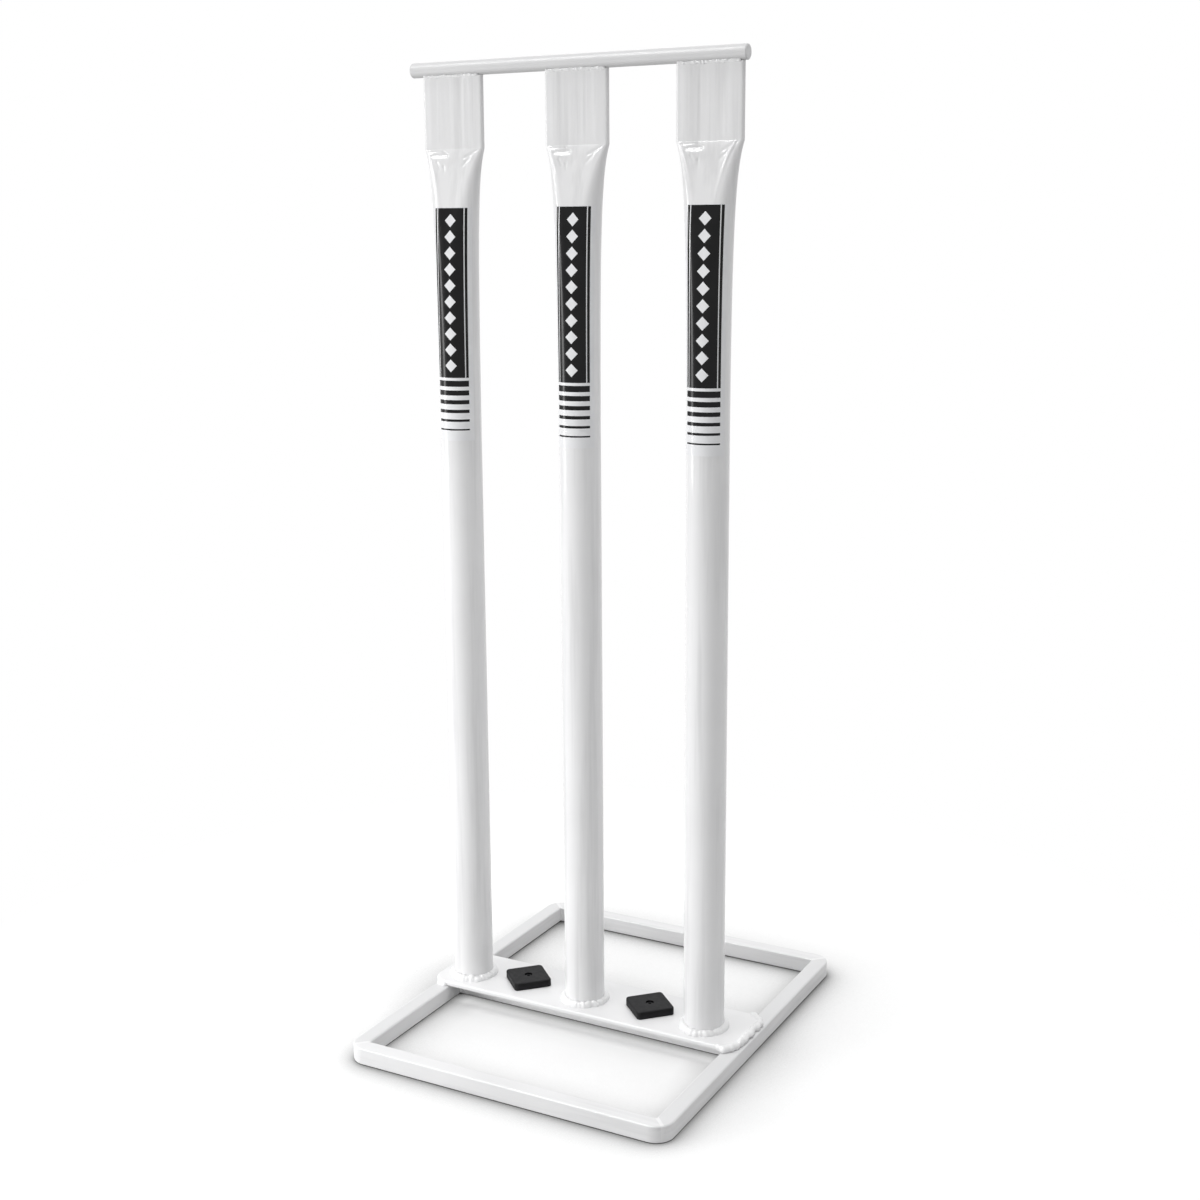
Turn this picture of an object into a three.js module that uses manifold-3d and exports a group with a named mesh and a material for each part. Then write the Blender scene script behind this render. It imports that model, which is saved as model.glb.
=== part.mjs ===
// Free-standing metal cricket stumps: three tubes pressed flat at the top, a round bar across them,
// and a square-bar floor frame bridged by a flat plate.
// Millimetres, +Z up, X along the row of stumps, -Y to the front.
// The origin is where the middle stump's axis meets the ground.

import * as THREE from 'three';
import { mergeVertices } from 'three/addons/utils/BufferGeometryUtils.js';
import Module from 'manifold-3d';

const wasm = await Module();
wasm.setup();

// Overall sizes
const wicket_height = 711;
const wicket_width = 231;

// Clearances
const joint_gap = 0.3;
const cut_overrun = 2;

// Stump tubes
const tube_diameter = 30;
const tube_wall = 1.5;
const press_slot = 1.5;
const flat_width = 49.5;
const flat_height = 50;
const neck_length = 200;
const neck_fall = 48;

// Bar across the tops
const bail_diameter = 10.4;
const bail_overhang = 30.5;
const bail_shift = -3.5;
const bail_chamfer = 0.6;

// Floor frame of square bar
const rail_size = 12.7;
const rail_edge_round = 1.2;
const frame_side_margin = 14.5;
const frame_front_reach = 142;
const frame_back_reach = 166.5;
const frame_shift = 8.5;
const frame_corner_round = 14;
const corner_weld_width = 2.4;

// Cross bar under the plate
const cross_bar_y = -2;
const cross_weld_root = 1.5;
const cross_weld_leg = 3;

// Plate under the stumps. It is as long as the frame is wide, and lies a little to the left.
const plate_thickness = 4;
const plate_front_reach = 25;
const plate_back_reach = 35;
const plate_setback = 3.5;
const plate_corner_round = 13;
const plate_edge_round = 0.8;

// Weld beads
const plate_weld_width = 3.4;
const plate_weld_height = 3.6;
const foot_weld_width = 3.8;
const foot_weld_height = 4.6;
const bail_weld_leg = 2.6;
const bail_weld_reach = 2.4;
const bail_weld_end_inset = 2;
const bead_crest_share = 0.62;
const right_wrap_share = 0.76;

// Square pads and their screws
const pad_side = 29.5;
const pad_thickness = 6;
const pad_corner_round = 3;
const pad_edge_round = 1;
const pad_place_share = 0.53;
const pad_turn_degrees = 46;
const screw_shank_diameter = 3;
const screw_head_diameter = 5.4;
const screw_head_height = 2.4;
const screw_head_edge = 0.5;
const screw_seat_thickness = 2.5;

// Vinyl labels
const label_width = 34;
const label_height = 167;
const label_below_shoulder = 41;
const label_gap = 0.3;
const label_thickness = 0.25;
const label_turn_degrees = 10;

// Heights and places that follow
const tube_radius = tube_diameter / 2;
const stump_pitch = (wicket_width - tube_diameter) / 2;
const plate_top = rail_size + plate_thickness;
const bail_radius = bail_diameter / 2;
const tube_top = wicket_height - bail_diameter;
const shoulder = tube_top - flat_height;
const flat_thickness = 2 * tube_wall + press_slot;
const frame_width = wicket_width + 2 * frame_side_margin;
const frame_left = frame_shift - frame_width / 2;
const frame_right = frame_shift + frame_width / 2;
const plate_left = frame_left - plate_setback;
const plate_right = frame_right - plate_setback;
const pad_place = pad_place_share * stump_pitch;
const pad_y = (plate_back_reach - plate_front_reach) / 2;
const screw_hole_diameter = screw_shank_diameter + 2 * joint_gap;
const pad_bore_diameter = screw_head_diameter + 2 * joint_gap;

// How finely round shapes are faceted
const tube_sides = 40;
const round_sides = 28;
const corner_steps = 6;
const edge_steps = 2;
const label_columns = 12;
const neck_ring_shares = [1, 0.74, 0.55, 0.42, 0.32, 0.24, 0.17, 0.11, 0.06, 0.025, 0];

const quarter = Math.PI / 2;
const object = new THREE.Group();

// Colours: white powder coat, black plastic, blackened steel and black vinyl
const white_coat = { color: 0xf1f2f4, roughness: 0.38, metalness: 0 };
const black_plastic = { color: 0x1c1c1d, roughness: 0.55, metalness: 0 };
const black_steel = { color: 0x141414, roughness: 0.4, metalness: 0.6 };
const black_vinyl = { color: 0x0d0d0e, roughness: 0.25, metalness: 0 };

function add(name, geometry, finish, x = 0, y = 0, z = 0) {
  const mesh = new THREE.Mesh(geometry, new THREE.MeshStandardMaterial(finish));
  mesh.name = name;
  mesh.position.set(x, y, z);
  object.add(mesh);
  return mesh;
}

// A closed three.js geometry as a solid, and back again
function solid_of(geometry) {
  const bare = geometry.clone();
  bare.deleteAttribute('normal');
  bare.deleteAttribute('uv');
  const merged = mergeVertices(bare);
  const vertProperties = new Float32Array(merged.attributes.position.array);
  const triVerts = new Uint32Array(merged.index.array);
  return new wasm.Manifold(new wasm.Mesh({ numProp: 3, vertProperties, triVerts }));
}

function geometry_of(solid) {
  const mesh = solid.getMesh();
  const geometry = new THREE.BufferGeometry();
  geometry.setAttribute('position', new THREE.BufferAttribute(mesh.vertProperties, 3));
  geometry.setIndex(new THREE.BufferAttribute(mesh.triVerts, 1));
  return geometry;
}

// A rectangle with rounded corners, as a closed path
function rounded_rectangle(path, left, right, front, back, radius) {
  path.moveTo(left + radius, front);
  path.absarc(right - radius, front + radius, radius, -Math.PI / 2, 0);
  path.absarc(right - radius, back - radius, radius, 0, Math.PI / 2);
  path.absarc(left + radius, back - radius, radius, Math.PI / 2, Math.PI);
  path.absarc(left + radius, front + radius, radius, Math.PI, 1.5 * Math.PI);
  return path;
}

// A plan shape raised to a height, standing on zero, with rounded top and bottom edges
function slab(shape, height, edge) {
  const geometry = new THREE.ExtrudeGeometry(shape, {
    depth: height - 2 * edge,
    bevelEnabled: true,
    bevelThickness: edge,
    bevelSize: edge,
    bevelOffset: -edge,
    bevelSegments: edge_steps,
    curveSegments: corner_steps,
  });
  return geometry.translate(0, 0, edge);
}

// A plan outline of points raised between two heights
function prism(points, low, high) {
  const shape = new THREE.Shape(points);
  const geometry = new THREE.ExtrudeGeometry(shape, { depth: high - low, bevelEnabled: false });
  return geometry.translate(0, 0, low);
}

// A profile of (y, z) points drawn out along X between two places
function drawn_along_x(points, left, right) {
  const shape = new THREE.Shape(points);
  const geometry = new THREE.ExtrudeGeometry(shape, { depth: right - left, bevelEnabled: false });
  geometry.rotateX(Math.PI / 2);
  geometry.rotateZ(Math.PI / 2);
  return geometry.translate(left, 0, 0);
}

// A profile of (radius, height) points turned about Z
function turned(points, sides = round_sides) {
  const profile = points.map(([radius, height]) => new THREE.Vector2(radius, height));
  return new THREE.LatheGeometry(profile, sides).rotateX(Math.PI / 2);
}

// A closed skin over rings of points. Each ring runs anticlockwise seen from the last ring,
// and the skin either returns to the first ring or is capped at both ends.
function skin(rings, returns) {
  const count = rings[0].length;
  const spans = returns ? rings.length : rings.length - 1;
  const positions = rings.flat().flatMap((point) => [point.x, point.y, point.z]);
  const faces = [];
  for (let ring = 0; ring < spans; ring += 1) {
    const low = ring * count;
    const high = ((ring + 1) % rings.length) * count;
    for (let side = 0; side < count; side += 1) {
      const next = (side + 1) % count;
      faces.push(low + side, low + next, high + next);
      faces.push(low + side, high + next, high + side);
    }
  }
  if (!returns) {
    const last = (rings.length - 1) * count;
    for (let side = 1; side < count - 1; side += 1) {
      faces.push(0, side + 1, side);
      faces.push(last, last + side, last + side + 1);
    }
  }
  const geometry = new THREE.BufferGeometry();
  geometry.setAttribute('position', new THREE.Float32BufferAttribute(positions, 3));
  geometry.setIndex(faces);
  return geometry;
}

// Floor frame: one rounded rectangle of square bar, parted into four rails by the corner welds
const frame_front = -frame_front_reach;
const frame_back = frame_back_reach;
const frame_outline = rounded_rectangle(
  new THREE.Shape(), frame_left, frame_right, frame_front, frame_back, frame_corner_round,
);
frame_outline.holes.push(new THREE.Path([
  new THREE.Vector2(frame_left + rail_size, frame_front + rail_size),
  new THREE.Vector2(frame_left + rail_size, frame_back - rail_size),
  new THREE.Vector2(frame_right - rail_size, frame_back - rail_size),
  new THREE.Vector2(frame_right - rail_size, frame_front + rail_size),
]));
const frame_solid = solid_of(slab(frame_outline, rail_size, rail_edge_round));

// The part of the frame inside a plan outline
function frame_piece(points) {
  const cutter = solid_of(prism(points, -cut_overrun, rail_size + cut_overrun));
  return geometry_of(frame_solid.intersect(cutter));
}

// A rail lies between two outer corners. Its ends are mitred, clear of the corner welds.
function rail(name, start, end, inward) {
  const along = end.clone().sub(start).normalize();
  const outer_end = (corner_weld_width / 2 + joint_gap) * Math.SQRT2 - cut_overrun;
  const inner_end = outer_end + rail_size + 2 * cut_overrun;
  const depth = rail_size + cut_overrun;
  const place = (corner, step, reach) => (
    corner.clone().addScaledVector(along, step).addScaledVector(inward, reach)
  );
  add(name, frame_piece([
    place(start, outer_end, -cut_overrun),
    place(end, -outer_end, -cut_overrun),
    place(end, -inner_end, depth),
    place(start, inner_end, depth),
  ]), white_coat);
}

// A corner weld fills the mitre from the inner corner to the rounded outer corner
function corner_weld(name, corner, inward) {
  const across = new THREE.Vector2(-inward.y, inward.x);
  const half = corner_weld_width / 2;
  const reach = (rail_size + cut_overrun) * Math.SQRT2;
  const place = (along, side) => (
    corner.clone().addScaledVector(inward, along).addScaledVector(across, side)
  );
  add(name, frame_piece([
    place(-cut_overrun, -half),
    place(reach, -half),
    place(reach, half),
    place(-cut_overrun, half),
  ]), white_coat);
}

const front_left = new THREE.Vector2(frame_left, frame_front);
const front_right = new THREE.Vector2(frame_right, frame_front);
const back_left = new THREE.Vector2(frame_left, frame_back);
const back_right = new THREE.Vector2(frame_right, frame_back);
rail('frame_front_rail', front_left, front_right, new THREE.Vector2(0, 1));
rail('frame_right_rail', front_right, back_right, new THREE.Vector2(-1, 0));
rail('frame_back_rail', back_right, back_left, new THREE.Vector2(0, -1));
rail('frame_left_rail', back_left, front_left, new THREE.Vector2(1, 0));
corner_weld('frame_corner_weld_front_left', front_left, new THREE.Vector2(1, 1).normalize());
corner_weld('frame_corner_weld_front_right', front_right, new THREE.Vector2(-1, 1).normalize());
corner_weld('frame_corner_weld_back_left', back_left, new THREE.Vector2(1, -1).normalize());
corner_weld('frame_corner_weld_back_right', back_right, new THREE.Vector2(-1, -1).normalize());

// Cross bar on the floor between the side rails, stopped short by the root of its end welds
const cross_left = frame_left + rail_size;
const cross_right = frame_right - rail_size;
const cross_half = rail_size / 2;
const cross_section = rounded_rectangle(
  new THREE.Shape(), -cross_half, cross_half, 0, rail_size, rail_edge_round,
).getPoints(edge_steps);
cross_section.pop();
add('cross_bar', drawn_along_x(
  cross_section, cross_left + cross_weld_root, cross_right - cross_weld_root,
), white_coat, 0, cross_bar_y);

// Each end weld fills the root and lies in the two upright corners beside the bar
function cross_bar_weld(name, face, away) {
  const side = cross_half + joint_gap;
  const outline = [
    [0, -side - cross_weld_leg],
    [cross_weld_root + cross_weld_leg, -side],
    [cross_weld_root, -side],
    [cross_weld_root, side],
    [cross_weld_root + cross_weld_leg, side],
    [0, side + cross_weld_leg],
  ].map(([along, across]) => new THREE.Vector2(along * away, across));
  const low = rail_edge_round;
  const high = rail_size - joint_gap;
  add(name, prism(outline, low, high), white_coat, face, cross_bar_y);
}

cross_bar_weld('left_cross_bar_weld', cross_left, 1);
cross_bar_weld('right_cross_bar_weld', cross_right, -1);

// Plate across the side rails, drilled for the pad screws
const plate_front = -plate_front_reach;
const plate_back = plate_back_reach;
const plate_outline = rounded_rectangle(
  new THREE.Shape(), plate_left, plate_right, plate_front, plate_back, plate_corner_round,
);
for (const side of [-1, 1]) {
  const hole = new THREE.Path();
  hole.absarc(side * pad_place, pad_y, screw_hole_diameter / 2, 0, 2 * Math.PI, true);
  plate_outline.holes.push(hole);
}
add('stump_plate', slab(plate_outline, plate_thickness, plate_edge_round), white_coat, 0, 0, rail_size);

// A fillet bead that lies on the rails beside the plate's edge. The route holds places on the
// plate's outline with the outward direction at each.
function edge_bead(name, route) {
  const crest = bead_crest_share;
  const profile = [
    [joint_gap, plate_weld_height],
    [plate_weld_width * crest, plate_weld_height * crest],
    [plate_weld_width, 0],
    [joint_gap, 0],
  ];
  const rings = route.map(({ x, y, turn }) => profile.map(([out, up]) => new THREE.Vector3(
    x + out * Math.cos(turn),
    y + out * Math.sin(turn),
    rail_size + up,
  )));
  add(name, skin(rings, false), white_coat);
}

// Places round one rounded corner of the plate, from one direction to another
function corner_route(centre_x, centre_y, from, to) {
  return Array.from({ length: corner_steps + 1 }, (_, step) => {
    const turn = from + (to - from) * (step / corner_steps);
    return {
      x: centre_x + plate_corner_round * Math.cos(turn),
      y: centre_y + plate_corner_round * Math.sin(turn),
      turn,
    };
  });
}

const arc_right = plate_right - plate_corner_round;
const arc_left = plate_left + plate_corner_round;
const arc_front = plate_front + plate_corner_round;
const arc_back = plate_back - plate_corner_round;
edge_bead('right_plate_weld', [
  ...corner_route(arc_right, arc_front, -quarter * right_wrap_share, 0),
  ...corner_route(arc_right, arc_back, 0, quarter * right_wrap_share),
]);

// The plate stands over the left rail's outer face, so the two left beads start where their toe
// is above that face, and end where the rounded corner does
const left_start = Math.acos((arc_left - frame_left) / (plate_corner_round + plate_weld_width));
edge_bead('left_plate_weld_front', corner_route(
  arc_left, arc_front, Math.PI + left_start, Math.PI + quarter,
));
edge_bead('left_plate_weld_back', corner_route(
  arc_left, arc_back, Math.PI - quarter, Math.PI - left_start,
));

// Stump tube. Pressing keeps the tube's girth, so a section is two flats joined by half rounds.
const neck_rest = Math.exp(-neck_length / neck_fall);

// Half width and half thickness of the tube at a depth below the shoulder
function tube_section(depth) {
  const below = Math.min(Math.max(depth, 0), neck_length);
  const pressed = (Math.exp(-below / neck_fall) - neck_rest) / (1 - neck_rest);
  const squeeze = (tube_radius - flat_thickness / 2) * pressed;
  const half_thickness = tube_radius - squeeze;
  const pressed_half = flat_thickness / 2 + quarter * (tube_radius - flat_thickness / 2);
  const spread = (flat_width / 2 - pressed_half) * pressed ** 4;
  return { half_width: half_thickness + quarter * squeeze + spread, half_thickness };
}

// The point at a share of the girth, counted anticlockwise from +X, moved out by an offset.
// Half the girth is one half round and one flat, and the other half is the same turned about.
function girth_point({ half_width, half_thickness }, share, offset) {
  const flat = 2 * (half_width - half_thickness);
  const half_round = Math.PI * half_thickness;
  const half_girth = flat + half_round;
  const travel = ((share + 1) % 1) * 2 * half_girth + half_round / 2;
  const side = travel % (2 * half_girth) < half_girth ? 1 : -1;
  const along = travel % half_girth;
  const radius = half_thickness + offset;
  if (along < half_round) {
    const turn = along / half_thickness - quarter;
    return [side * (flat / 2 + radius * Math.cos(turn)), side * radius * Math.sin(turn)];
  }
  return [side * (flat / 2 - (along - half_round)), side * radius];
}

function tube_ring(height, offset) {
  const section = tube_section(shoulder - height);
  return Array.from({ length: tube_sides }, (_, side) => {
    const [x, y] = girth_point(section, side / tube_sides, offset);
    return new THREE.Vector3(x, y, height);
  });
}

const neck_heights = neck_ring_shares.map((share) => shoulder - share * neck_length);
const tube_heights = [plate_top, ...neck_heights, tube_top];
const outer_rings = tube_heights.map((height) => tube_ring(height, 0));
const inner_rings = tube_heights.map((height) => tube_ring(height, -tube_wall)).reverse();

// Ring of weld round a stump's foot
const foot_profile = [
  [tube_radius + joint_gap, 0],
  [tube_radius + foot_weld_width, 0],
  [tube_radius + foot_weld_width * bead_crest_share, foot_weld_height * bead_crest_share],
  [tube_radius + joint_gap, foot_weld_height],
  [tube_radius + joint_gap, 0],
];

// Beads between the pressed top and the round bar, in front of the tube and behind it
const bail_axis = wicket_height - bail_radius;
function bail_weld_profile(side) {
  const face = flat_thickness / 2 + joint_gap;
  const bar = bail_radius + joint_gap;
  const toe = Math.min(face + bail_weld_reach, bar);
  const from = Math.asin(face / bar);
  const to = Math.asin(toe / bar);
  const seat = Array.from({ length: corner_steps + 1 }, (_, step) => {
    const turn = from + (to - from) * (step / corner_steps);
    return [bar * Math.sin(turn), bail_axis - bar * Math.cos(turn)];
  });
  const foot = tube_top - bail_weld_leg;
  const [toe_y, toe_z] = seat[seat.length - 1];
  const crest = [
    face + (toe_y - face) * bead_crest_share,
    foot + (toe_z - foot) * (1 - bead_crest_share),
  ];
  return [[face, foot], ...seat, crest].map(([y, z]) => new THREE.Vector2(side * y, z));
}

// Vinyl label on the front of a tube, following the neck's section
const label_top = shoulder - label_below_shoulder;
const label_bottom = label_top - label_height;
const girth = Math.PI * tube_diameter;
const label_centre_share = 0.75 + label_turn_degrees / 360;
const label_heights = [
  label_bottom,
  ...neck_heights.filter((height) => height > label_bottom && height < label_top),
  label_top,
];

function label_row(height, offset) {
  const section = tube_section(shoulder - height);
  return Array.from({ length: label_columns + 1 }, (_, column) => {
    const across = (column / label_columns - 0.5) * (label_width / girth);
    const [x, y] = girth_point(section, label_centre_share + across, offset);
    return new THREE.Vector3(x, y, height);
  });
}

// A sheet between an outer and an inner grid of points of equal size
function sheet(outer, inner) {
  const rows = outer.length;
  const columns = outer[0].length;
  const positions = [...outer, ...inner].flat().flatMap((point) => [point.x, point.y, point.z]);
  const under = rows * columns;
  const at = (row, column) => row * columns + column;
  const faces = [];
  const quad = (a, b, c, d) => faces.push(a, b, c, a, c, d);
  for (let row = 0; row < rows - 1; row += 1) {
    for (let column = 0; column < columns - 1; column += 1) {
      const corners = [
        at(row, column), at(row, column + 1), at(row + 1, column + 1), at(row + 1, column),
      ];
      quad(...corners);
      quad(...corners.map((corner) => corner + under).reverse());
    }
    const [start, above] = [at(row, 0), at(row + 1, 0)];
    const [end, end_above] = [at(row, columns - 1), at(row + 1, columns - 1)];
    quad(start, above, above + under, start + under);
    quad(end, end + under, end_above + under, end_above);
  }
  for (let column = 0; column < columns - 1; column += 1) {
    const [low, next] = [at(0, column), at(0, column + 1)];
    const [high, high_next] = [at(rows - 1, column), at(rows - 1, column + 1)];
    quad(low, low + under, next + under, next);
    quad(high, high_next, high_next + under, high + under);
  }
  const geometry = new THREE.BufferGeometry();
  geometry.setAttribute('position', new THREE.Float32BufferAttribute(positions, 3));
  geometry.setIndex(faces);
  return geometry;
}

for (const [side, place] of [['left', -stump_pitch], ['middle', 0], ['right', stump_pitch]]) {
  add(`${side}_stump`, skin([...outer_rings, ...inner_rings], true), white_coat, place);
  add(`${side}_stump_foot_weld`, turned(foot_profile, tube_sides), white_coat, place, 0, plate_top);
  const bead_end = flat_width / 2 - bail_weld_end_inset;
  add(`${side}_bail_weld_front`, drawn_along_x(bail_weld_profile(-1), -bead_end, bead_end), white_coat, place);
  add(`${side}_bail_weld_back`, drawn_along_x(bail_weld_profile(1), -bead_end, bead_end), white_coat, place);
  const outer = label_heights.map((height) => label_row(height, label_gap + label_thickness));
  const inner = label_heights.map((height) => label_row(height, label_gap));
  add(`${side}_label`, sheet(outer, inner), black_vinyl, place);
}

// Round bar with lightly chamfered ends
const bail_half = stump_pitch + bail_overhang;
const bail_profile = [
  [0, -bail_half],
  [bail_radius - bail_chamfer, -bail_half],
  [bail_radius, -bail_half + bail_chamfer],
  [bail_radius, bail_half - bail_chamfer],
  [bail_radius - bail_chamfer, bail_half],
  [0, bail_half],
];
add('bail_bar', turned(bail_profile).rotateY(Math.PI / 2), white_coat, bail_shift, 0, bail_axis);

// Square pads, turned on the plate and bored for a sunk screw head
const pad_half = pad_side / 2;
const pad_block = solid_of(slab(rounded_rectangle(
  new THREE.Shape(), -pad_half, pad_half, -pad_half, pad_half, pad_corner_round,
), pad_thickness, pad_edge_round));
const pad_bore = solid_of(turned([
  [0, -cut_overrun],
  [screw_hole_diameter / 2, -cut_overrun],
  [screw_hole_diameter / 2, screw_seat_thickness],
  [pad_bore_diameter / 2, screw_seat_thickness],
  [pad_bore_diameter / 2, pad_thickness + cut_overrun],
  [0, pad_thickness + cut_overrun],
]));
const pad_geometry = geometry_of(pad_block.subtract(pad_bore));
const shank_bottom = joint_gap - plate_thickness;
const screw_profile = [
  [0, shank_bottom],
  [screw_shank_diameter / 2, shank_bottom],
  [screw_shank_diameter / 2, screw_seat_thickness],
  [screw_head_diameter / 2, screw_seat_thickness],
  [screw_head_diameter / 2, screw_seat_thickness + screw_head_height - screw_head_edge],
  [screw_head_diameter / 2 - screw_head_edge, screw_seat_thickness + screw_head_height],
  [0, screw_seat_thickness + screw_head_height],
];
for (const [side, place] of [['left', -pad_place], ['right', pad_place]]) {
  const pad = add(`${side}_pad`, pad_geometry.clone(), black_plastic, place, pad_y, plate_top);
  pad.rotation.z = THREE.MathUtils.degToRad(pad_turn_degrees);
  add(`${side}_pad_screw`, turned(screw_profile), black_steel, place, pad_y, plate_top);
}

export default object;
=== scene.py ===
# %% [markdown]
# # A wicket of steel, welded and painted white
# The object is a free-standing set of cricket stumps. Three tubes are pressed flat at the top and
# joined by a round bar. They stand on a flat plate that bridges a frame of square bar on the floor.
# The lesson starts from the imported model, which is kept as a fixed frame. Every new piece is made in
# metres, in the place of the plain solid that it stands for.

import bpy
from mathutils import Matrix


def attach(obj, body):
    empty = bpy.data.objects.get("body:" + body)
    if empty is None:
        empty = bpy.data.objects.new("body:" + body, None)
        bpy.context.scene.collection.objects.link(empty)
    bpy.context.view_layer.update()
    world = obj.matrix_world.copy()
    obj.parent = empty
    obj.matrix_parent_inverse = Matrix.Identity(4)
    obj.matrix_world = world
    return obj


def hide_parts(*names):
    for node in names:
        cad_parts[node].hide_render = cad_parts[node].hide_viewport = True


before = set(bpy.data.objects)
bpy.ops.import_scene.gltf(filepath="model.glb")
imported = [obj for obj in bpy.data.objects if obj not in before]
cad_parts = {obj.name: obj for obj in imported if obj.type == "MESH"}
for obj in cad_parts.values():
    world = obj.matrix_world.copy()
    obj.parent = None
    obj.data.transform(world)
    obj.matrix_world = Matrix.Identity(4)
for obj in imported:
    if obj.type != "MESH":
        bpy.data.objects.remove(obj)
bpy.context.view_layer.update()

# %% Blender's own modules, and one unit
import math
import random

import bmesh
import bpy
from mathutils import Matrix, Vector

mm = 0.001
quarter = math.pi / 2
print("one millimetre is", mm, "metres")

# %% [markdown]
# The camera comes first, so that each render can be laid beside the photograph. Its place, turn and
# lens were worked out from the corners of the floor frame, the plate and the bar. The turn is built
# from three plain rotations: the heading, the tilt down, and a very small lean of the horizon.

# %% The camera
camera_place = Vector((586.93, -1058.84, 594.60)) * mm
heading, tilt_down, lean = (math.radians(turn) for turn in (28.36, 12.35, -0.37))
focal_pixels, frame_pixels, sensor = 1698.33, 1200, 36
nearest_seen, farthest_seen = 0.05, 60
bpy.ops.object.select_all(action="DESELECT")
bpy.ops.object.camera_add(location=camera_place)
camera = bpy.context.object
camera.rotation_euler = (
    Matrix.Rotation(heading, 3, "Z")
    @ Matrix.Rotation(quarter - tilt_down, 3, "X")
    @ Matrix.Rotation(lean, 3, "Z")
).to_euler()
camera.data.sensor_width = sensor
camera.data.lens = sensor * focal_pixels / frame_pixels
camera.data.clip_start, camera.data.clip_end = nearest_seen, farthest_seen
bpy.context.scene.camera = camera
print("lens:", round(camera.data.lens, 2), "mm")

# %% [markdown]
# The sizes come next, in millimetres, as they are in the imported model. The photograph's proportions
# were scaled to the height of a full wicket, 711 mm, and all else follows from that.

# %% Sizes of the steel, in millimetres
wicket_height, stump_pitch = 711, 100.5
tube_radius, tube_wall = 15, 1.5
girth = 2 * math.pi * tube_radius
flat_width, flat_height, flat_thickness, neck_length, neck_fall = 49.5, 50, 4.5, 200, 48
bar_radius, bar_left, bar_right, bar_rim = 5.2, -134.5, 127.5, 0.9
rail, rail_edge, frame_corner, weld_width = 12.7, 1.3, 14, 2.4
frame_left, frame_right, frame_front, frame_back = -121.5, 138.5, -142, 166.5
cross_y, cross_gap = -2, 0.4
plate_left, plate_right, plate_front, plate_back = -125, 135, -25, 35
plate_thickness, plate_corner, plate_edge = 4, 13, 1.5
plate_top = rail + plate_thickness
tube_top = wicket_height - 2 * bar_radius
shoulder = tube_top - flat_height
stump_places = {"left": -stump_pitch, "middle": 0, "right": stump_pitch}
pad_share = 0.53
pad_y = (plate_front + plate_back) / 2
pad_places = {"left": -pad_share * stump_pitch, "right": pad_share * stump_pitch}
print("shoulder at", shoulder, "mm, tube top at", tube_top, "mm")

# %% [markdown]
# Paint, plastic and vinyl are each one material with its own small network of nodes. A few helpers
# keep the networks short to read: one starts a material, one adds a node, one joins two sockets, and
# one does a step of arithmetic. The surround's network uses them too. Patterns read Object
# coordinates, so they stay fixed to the piece.

# %% Helpers for materials
def new_finish(name, colour, roughness):
    finish = bpy.data.materials.new(name)
    finish.use_nodes = True
    surface = finish.node_tree.nodes["Principled BSDF"]
    surface.inputs["Base Color"].default_value = (*colour, 1)
    surface.inputs["Roughness"].default_value = roughness
    return finish, surface


def add_node(finish, kind, **settings):
    made = finish.node_tree.nodes.new(kind)
    for name, value in settings.items():
        if hasattr(made, name):
            setattr(made, name, value)
        else:
            made.inputs[name.replace("_", " ").title()].default_value = value
    return made


def wire(finish, start, end):
    finish.node_tree.links.new(start, end)


def arithmetic(finish, kind, *values):
    """One step of arithmetic between sockets or numbers."""
    step = add_node(finish, "ShaderNodeMath", operation=kind)
    for socket, value in zip(step.inputs, values):
        if isinstance(value, (int, float)):
            socket.default_value = value
        else:
            wire(finish, value, socket)
    return step.outputs[0]


print("helpers for materials are ready")


# %% Patterns that several finishes share
def cloudy(finish, scale, detail=3.0, rough=0.5, drawn_out=None):
    """A soft noise on Object coordinates. A scale of 1000 gives specks of about a millimetre."""
    place = add_node(finish, "ShaderNodeTexCoord").outputs["Object"]
    noise = add_node(finish, "ShaderNodeTexNoise", scale=scale, detail=detail)
    noise.inputs["Roughness"].default_value = rough
    if drawn_out:
        stretch = add_node(finish, "ShaderNodeMapping")
        stretch.inputs["Scale"].default_value = drawn_out
        wire(finish, place, stretch.inputs["Vector"])
        place = stretch.outputs["Vector"]
    wire(finish, place, noise.inputs["Vector"])
    return noise.outputs["Fac"]


def between(finish, share, low, high, share_low=0.35, share_high=0.65):
    """Turns a share into a number between low and high."""
    ranged = add_node(finish, "ShaderNodeMapRange")
    ends = {"From Min": share_low, "From Max": share_high, "To Min": low, "To Max": high}
    for name, value in ends.items():
        ranged.inputs[name].default_value = value
    wire(finish, share, ranged.inputs["Value"])
    return ranged.outputs["Result"]


def grey(level, blue=0.005):
    """A grey with a trace of blue."""
    return level, level, level + blue


def blend_colours(finish, share, first, second):
    mixed = add_node(finish, "ShaderNodeMix", data_type="RGBA")
    wire(finish, share, mixed.inputs["Factor"])
    for socket, colour in (("A", first), ("B", second)):
        target = [s for s in mixed.inputs if s.name == socket and s.type == "RGBA"][0]
        if isinstance(colour, tuple):
            target.default_value = (*colour, 1)
        else:
            wire(finish, colour, target)
    return [s for s in mixed.outputs if s.type == "RGBA"][0]


def facing(finish, none, full):
    """How far a side faces up, 0 at the first height of its normal and 1 at the second."""
    direction = add_node(finish, "ShaderNodeSeparateXYZ")
    wire(finish, add_node(finish, "ShaderNodeNewGeometry").outputs["Normal"], direction.inputs["Vector"])
    return between(finish, direction.outputs["Z"], 0, 1, none, full)


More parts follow.
